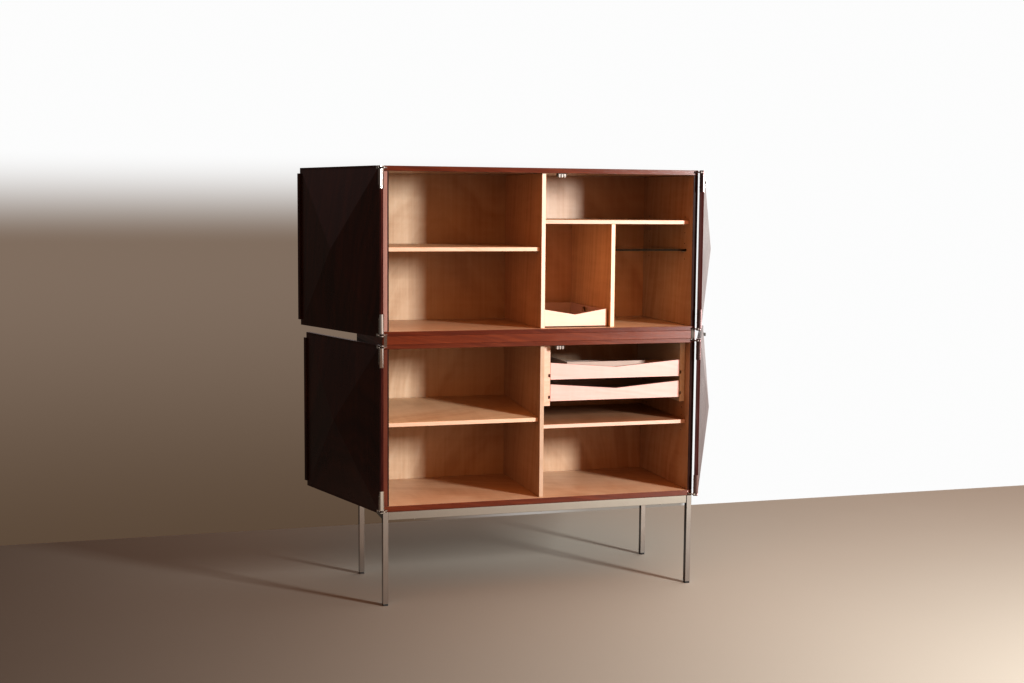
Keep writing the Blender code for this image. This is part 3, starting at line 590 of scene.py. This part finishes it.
def slotted_screw(shape, origin, axis, radius=0.0026, height=0.0008, spin=0.6, sides=24):
    """A countersunk screw head with a sawn slot, standing on a plate."""
    matrix = toward(origin, axis, spin)
    half = radius * 0.13
    deep = height * 0.35
    for sign in (-1, 1):
        arc = []
        start = math.asin(half / radius)
        count = sides // 2
        for k in range(count + 1):
            angle = start + (math.pi - 2 * start) * k / count
            arc.append((math.cos(angle) * sign, math.sin(angle) * sign))
        low = [shape.verts.new(matrix @ Vector((x * radius, y * radius, 0))) for x, y in arc]
        rim = [shape.verts.new(matrix @ Vector((x * radius, y * radius, height * 0.6))) for x, y in arc]
        top = []
        for x, y in arc:
            ty = y * radius * 0.86
            if abs(ty) < half:
                ty = half * (1 if y * sign > 0 else 1) * (1 if y > 0 else -1)
            top.append(shape.verts.new(matrix @ Vector((x * radius * 0.86, ty, height))))
        for a, b in ((low, rim), (rim, top)):
            for k in range(count):
                shape.faces.new((a[k], a[k + 1], b[k + 1], b[k]))
            shape.faces.new((a[-1], a[0], b[0], b[-1]))
        shape.faces.new(top)
        shape.faces.new(list(reversed(low)))
    floor = [(-0.97, -1.15), (0.97, -1.15), (0.97, 1.15), (-0.97, 1.15)]
    base = [shape.verts.new(matrix @ Vector((x * radius, y * half, 0))) for x, y in floor]
    lid = [shape.verts.new(matrix @ Vector((x * radius, y * half, deep))) for x, y in floor]
    shape.faces.new(list(reversed(base)))
    shape.faces.new(lid)
    for k in range(4):
        n = (k + 1) % 4
        shape.faces.new((base[k], base[n], lid[n], lid[k]))


def slab(shape, low, high, matrix=Matrix.Identity(4)):
    low, high = Vector(low), Vector(high)
    middle, size = (low + high) / 2, high - low
    bmesh.ops.create_cube(shape, size=1.0, matrix=matrix @ Matrix.Translation(middle) @ Matrix.Diagonal((*size, 1.0)))


screw_metal = metal("screw_nickel", (0.60, 0.57, 0.52), 0.30, "X", spots=0.6)
pin_metal = metal("pin_nickel", (0.62, 0.56, 0.47), 0.30, "X", spots=0.6)
steel_plate = rubber("pole_grey", (0.36, 0.33, 0.31), 0.34)
dark_plastic = rubber("clip_dark", (0.020, 0.018, 0.016), 0.5)

# ---- shelf pins, and the drilled rows that they stand in
PITCH = 0.0295
PIN_FRONT, PIN_REAR = 0.0715, 0.4235
BACK_OF_SIDE = {"left": SIDE, "right": WIDTH - SIDE}
pins = []  # (x of the wall, direction of the bay, y, z)
holes = {}  # node: list of (x of the wall, direction into the wall, y, z)


def supports(under_front, under_rear, x0, x1, wall0, wall1):
    for y, under in ((PIN_FRONT, under_front), (PIN_REAR, under_rear)):
        for x, way, wall in ((x0, 1, wall0), (x1, -1, wall1)):
            pins.append((x, way, y, under - 0.0026))
            for step in (-1, 1, 2) if under < 0.7 else (-1, 1):
                holes.setdefault(wall, []).append((x, -way, y, under - 0.0026 + step * PITCH))


DIV_L, DIV_R = 0.592, 0.608
LEAN = math.asin(0.0269 / (0.480 - 0.032))
supports(1.2746, 1.2746, SIDE, DIV_L, "upper_side_left", "upper_divider")
supports(0.6451 + (PIN_FRONT - 0.032) * math.tan(LEAN) - 0.0004, 0.6451 + (PIN_REAR - 0.032) * math.tan(LEAN) - 0.0004, SIDE, DIV_L, "lower_side_left", "lower_divider")
supports(0.6176, 0.6176, DIV_R, WIDTH - SIDE, "lower_divider", "lower_side_right")
supports(1.2745, 1.2745, 0.8855, WIDTH - SIDE, "subdivider", "upper_side_right")
supports(1.3746, 1.3746, DIV_R, WIDTH - SIDE, "upper_divider", "upper_side_right")

shape = bmesh.new()
for x, way, y, z in pins:
    turned(shape, [(0.0040, 0.0), (0.0043, 0.0003), (0.0043, 0.0008), (0.0038, 0.0012), (0.0025, 0.0013), (0.0025, 0.0082), (0.0021, 0.0088), (0.0, 0.0089)],
           toward(at(x, y, z), (way, 0, 0)), 20)
piece("shelf_pins", shape, "cabinet", pin_metal, smooth=40)

for wall, places in holes.items():
    shape = bmesh.new()
    for x, way, y, z in places:
        turned(shape, [(0.0025, -0.004), (0.0025, 0.0075), (0.0, 0.0088)], toward(at(x, y, z), (way, 0, 0)), 16)
    bmesh.ops.recalc_face_normals(shape, faces=shape.faces)
    mesh = bpy.data.meshes.new(wall + "_drill")
    shape.to_mesh(mesh)
    shape.free()
    drill = bpy.data.objects.new(wall + "_drill", mesh)
    bpy.context.scene.collection.objects.link(drill)
    drill.hide_render = True
    drill.hide_viewport = True
    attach(drill, "cabinet")
    step = nodes[wall].modifiers.new("drilled", "BOOLEAN")
    step.operation = "DIFFERENCE"
    step.solver = "EXACT"
    step.object = drill

# ---- pull-down clip that holds the glass shelf at the right wall, near the front
shape = bmesh.new()
wall_x = WIDTH - SIDE
angle = [(wall_x - 0.0160, 1.2722), (wall_x, 1.2722), (wall_x, 1.2815), (wall_x - 0.0014, 1.2815), (wall_x - 0.0014, 1.2742), (wall_x - 0.0160, 1.2742)]
near, far = [[shape.verts.new(at(x, y, z)) for x, z in angle] for y in (0.0560, 0.0660)]
shape.faces.new(near)
shape.faces.new(far[::-1])
for i in range(6):
    shape.faces.new((near[i], far[i], far[(i + 1) % 6], near[(i + 1) % 6]))
bmesh.ops.recalc_face_normals(shape, faces=shape.faces)
piece("glass_clip_front", shape, "cabinet", dark_plastic, bevel=0.0006)

# ---- dark rosewood strips along the inner front arris of the left side panels
for tag, low, high in (("upper", 0.9925, 1.5575), ("lower", 0.3645, 0.9295)):
    shape = bmesh.new()
    slab(shape, at(SIDE - 0.0004, 0.0005, low), at(SIDE + 0.0040, 0.0040, high))
    dark_strip = wood("bead_" + tag, ROSEWOOD, "Z", rough=0.42, spec=0.10)
    piece("bead_" + tag + "_left", shape, "cabinet", dark_strip, bevel=0.0005)

# ---- magnetic catches: a housing with two pole plates, on a screwed foot
for tag in ("upper", "lower"):
    top = CEILING[tag] - 0.0003
    x0, y0, z0 = 0.651, 0.010, top - 0.0150
    shape = bmesh.new()
    slab(shape, at(x0, y0 + 0.0012, z0 + 0.0016), at(x0 + 0.032, y0 + 0.0215, top))
    housing = rubber("catch_case_" + tag, (0.085, 0.075, 0.065), 0.42)
    case = piece("catch_case_" + tag, shape, "cabinet", housing, bevel=0.0011)
    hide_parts("catch_" + tag)
    shape = bmesh.new()
    for a in (0.0038, 0.0138, 0.0238):
        slab(shape, at(x0 + a, y0, z0), at(x0 + a + 0.0044, y0 + 0.0185, z0 + 0.0125))
    piece("catch_poles_" + tag, shape, "cabinet", steel_plate, bevel=0.0003)
    shape = bmesh.new()
    slab(shape, at(x0 + 0.002, y0 + 0.0205, top - 0.0016), at(x0 + 0.030, y0 + 0.0275, top))
    piece("catch_foot_" + tag, shape, "cabinet", housing, bevel=0.0005)
    shape = bmesh.new()
    for x in (x0 + 0.0075, x0 + 0.0245):
        slotted_screw(shape, at(x, y0 + 0.0243, top - 0.0016), (0, 0, -1), 0.0021, 0.0007)
    piece("catch_screws_" + tag, shape, "cabinet", screw_metal)

# ---- strikes on the inner faces of the right leaves, which meet the catches
for tag, z in (("upper_right", 1.541), ("lower_right", 0.9145)):
    matrix = door_matrix(tag)
    shape = bmesh.new()
    x = -0.533
    slab(shape, (x - 0.0085, LEAF + 0.0022, z - 0.0080), (x + 0.0085, LEAF + 0.0038, z + 0.0080), matrix)
    slab(shape, (x - 0.0025, LEAF + 0.0034, z - 0.0065), (x + 0.0025, LEAF + 0.0100, z + 0.0065), matrix)
    slab(shape, (x - 0.0055, LEAF + 0.0098, z - 0.0065), (x + 0.0055, LEAF + 0.0120, z + 0.0065), matrix)
    piece("strike_" + tag, shape, tag + "_door", metal("strike_" + tag, (0.55, 0.54, 0.52), 0.32, "Z", spots=0.5), bevel=0.0005)

# ---- screws of the door fittings, on the flanges along each leaf's hinge edge
for tag, (left, opened, bottom, top) in DOORS.items():
    matrix = door_matrix(tag)
    hand = 1 if left else -1
    shape = bmesh.new()
    for edge, way in ((bottom, 1), (top, -1)):
        for rise in (0.030, 0.062):
            z = edge + way * rise
            origin = matrix @ Vector((hand * 0.0040, LEAF + 0.0011, z))
            slotted_screw(shape, origin, matrix.to_3x3() @ Vector((0, 1, 0)), 0.0024, 0.0007, 0.4 + rise * 30)
            origin = matrix @ Vector((hand * 0.0040, -0.0020, z))
            slotted_screw(shape, origin, matrix.to_3x3() @ Vector((0, -1, 0)), 0.0024, 0.0007, 1.1 + rise * 22)
    piece(f"hinge_screws_{tag}", shape, tag + "_door", screw_metal)

# ---- screws of the back panels
shape = bmesh.new()
for low, high in ((0.364, 0.930), (0.992, 1.558)):
    for k in range(6):
        x = 0.034 + (WIDTH - 0.068) * k / 5
        for z in (low + 0.012, high - 0.012):
            slotted_screw(shape, at(x, 0.491, z), (0, 1, 0), 0.0030, 0.0008, 0.7 * k + z * 9)
    for k in range(1, 4):
        z = low + (high - low) * k / 4
        for x in (0.034, 0.600, WIDTH - 0.034):
            slotted_screw(shape, at(x, 0.491, z), (0, 1, 0), 0.0030, 0.0008, 1.3 * k + x * 5)
piece("back_screws", shape, "cabinet", screw_metal)

# ---- bolts that hold the base's rails to the lower cabinet's floor board, seen from below
shape = bmesh.new()
for x in (0.12, 0.60, 1.08):
    for y in (0.0095, 0.4665):
        z = 0.344 - 0.0003 - 0.030
        turned(shape, [(0.0042, -0.0022), (0.0046, -0.0018), (0.0046, 0.0)], toward(at(x, y, z), (0, 0, 1)), 6)
piece("base_bolts", shape, "cabinet", screw_metal)


# ================================================================ floor, light, camera
def plane(name, low, high, z):
    mesh = bpy.data.meshes.new(name)
    mesh.from_pydata([(low[0], low[1], z), (high[0], low[1], z), (high[0], high[1], z), (low[0], high[1], z)], [], [(0, 1, 2, 3)])
    made = bpy.data.objects.new(name, mesh)
    bpy.context.scene.collection.objects.link(made)
    made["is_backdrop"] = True
    return made


floor = plane("floor", (-7.0, -9.0), (7.0, at(0, 1.294, 0).y), 0.0)
made = bpy.data.materials.new("floor_painted_shade")
made.use_nodes = True
g = Graph(made.node_tree)
shader = made.node_tree.nodes["Principled BSDF"]
local = g.add("ShaderNodeTexCoord").outputs["Object"]
east = g.add("ShaderNodeSeparateXYZ", {"Vector": local}).outputs[0]
# Painted shade: the floor is dark at the left and pale at the right.
g.put(shader.inputs["Base Color"], g.mix(g.step(east, -2.6, 1.2), rgba((0.116, 0.100, 0.083)), rgba((0.386, 0.358, 0.313))))
shader.inputs["Specular IOR Level"].default_value = 0.05
g.put(shader.inputs["Roughness"], g.step(g.noise(g.scaled(local, 2.2, 2.2, 2.2), 1.0, 3.0, 0.5), 0.2, 0.8, 0.74, 0.86))
floor.data.materials.append(made)


def lamp(name, place_at, aim, wide, tall, power, colour, shape="RECTANGLE"):
    data = bpy.data.lights.new(name, "AREA")
    data.shape = shape
    data.size, data.size_y = wide, tall
    data.energy = power
    data.color = colour
    made = bpy.data.objects.new(name, data)
    made.location = place_at
    made.rotation_mode = "QUATERNION"
    made.rotation_quaternion = (Vector(aim) - Vector(place_at)).to_track_quat("-Z", "Y")
    bpy.context.scene.collection.objects.link(made)
    return made


lamp("key", at(3.44, -3.70, 1.96), at(0.62, 0.27, 0.95), 0.52, 0.80, 340.0, (0.83, 0.885, 0.90))

world = bpy.data.worlds.new("studio")
bpy.context.scene.world = world
world.use_nodes = True
g = Graph(world.node_tree)
world.node_tree.nodes.clear()
direction = g.add("ShaderNodeTexCoord").outputs["Generated"]
x, y, z = g.add("ShaderNodeSeparateXYZ", {"Vector": direction}).outputs
# brighter towards the right and the back, where a lit wall would be, dim to the left, warm from the front
right = g.step(g.math("SUBTRACT", g.math("MULTIPLY", x, 0.978), g.math("MULTIPLY", y, 0.208)), -0.15, 0.30)
path = g.add("ShaderNodeLightPath").outputs
tone = g.mix(right, rgba((0.045, 0.038, 0.034)), rgba((0.95, 0.93, 0.92)))
front = g.step(y, -0.10, -0.60)
tone = g.mix(front, tone, rgba((0.92, 0.33, 0.085)))
# what a polished surface mirrors: a wall that is dim at the left and white at the right, a dusky room in front
wall = g.mix(right, g.mix(g.step(z, -0.05, 0.30), rgba((0.050, 0.040, 0.031)), rgba((0.26, 0.185, 0.18))), g.mix(g.step(z, -0.25, 0.05), rgba((0.72, 0.62, 0.58)), rgba((1.30, 1.20, 1.16))))
room = g.mix(g.step(x, -0.36, -0.12), rgba((0.062, 0.040, 0.040)), rgba((0.17, 0.150, 0.135)))
room = g.mix(g.step(x, 0.50, 0.72), room, rgba((0.62, 0.52, 0.46)))
mirrored = g.mix(front, wall, room)
tone = g.mix(path["Is Glossy Ray"], tone, mirrored)
soft = g.add("ShaderNodeBackground", {"Color": tone, "Strength": 1.0}).outputs[0]
# What the camera sees behind: a pale wall with painted shade, dusky low down and to the left, and a painted shadow in a
# patch under the base rail.
dusk = g.mix(g.step(z, -0.25, -0.04), rgba((0.114, 0.078, 0.052)), rgba((0.206, 0.157, 0.122)))
low_wall = g.mix(g.step(x, 0.20, 0.42), dusk, rgba((0.70, 0.70, 0.70)))
under = g.math("MULTIPLY", g.step(x, 0.28, 0.34), g.step(x, 0.395, 0.4005, 1.0, 0.0))
under = g.math("MULTIPLY", under, g.math("MULTIPLY", g.step(z, -0.160, -0.200), g.step(z, -0.270, -0.232)))
low_wall = g.mix(under, low_wall, rgba((0.285, 0.255, 0.225)))
shade = g.mix(g.step(z, -0.03, 0.035), low_wall, rgba((0.70, 0.70, 0.70)))
seen = g.add("ShaderNodeBackground", {"Color": shade, "Strength": 1.0}).outputs[0]
both = g.add("ShaderNodeMixShader")
g.put(both.inputs[0], path["Is Camera Ray"])
g.put(both.inputs[1], soft)
g.put(both.inputs[2], seen)
g.put(g.add("ShaderNodeOutputWorld").inputs[0], both.outputs[0])

YAW, PITCH_DOWN, ROLL = (math.radians(v) for v in (16.838, 5.622, 0.46))
forward = Vector((math.sin(YAW) * math.cos(PITCH_DOWN), math.cos(YAW) * math.cos(PITCH_DOWN), -math.sin(PITCH_DOWN)))
level = Vector((math.cos(YAW), -math.sin(YAW), 0.0))
upright = level.cross(forward)
side = level * math.cos(ROLL) + upright * math.sin(ROLL)
above = -level * math.sin(ROLL) + upright * math.cos(ROLL)
camera = bpy.data.objects.new("camera", bpy.data.cameras.new("camera"))
camera.data.sensor_width = 36.0
camera.data.lens = 1398.43 / 1024 * 36.0
eye = at(-0.9872, -4.8401, 1.4463)
camera.matrix_world = Matrix((
    (side.x, above.x, -forward.x, eye.x),
    (side.y, above.y, -forward.y, eye.y),
    (side.z, above.z, -forward.z, eye.z),
    (0, 0, 0, 1),
))
bpy.context.scene.collection.objects.link(camera)
bpy.context.scene.camera = camera

bpy.context.scene.view_settings.view_transform = "Standard"
bpy.context.scene.view_settings.look = "None"
bpy.context.scene.view_settings.exposure = 0.49
bpy.context.scene.view_settings.gamma = 0.80

low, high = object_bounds()
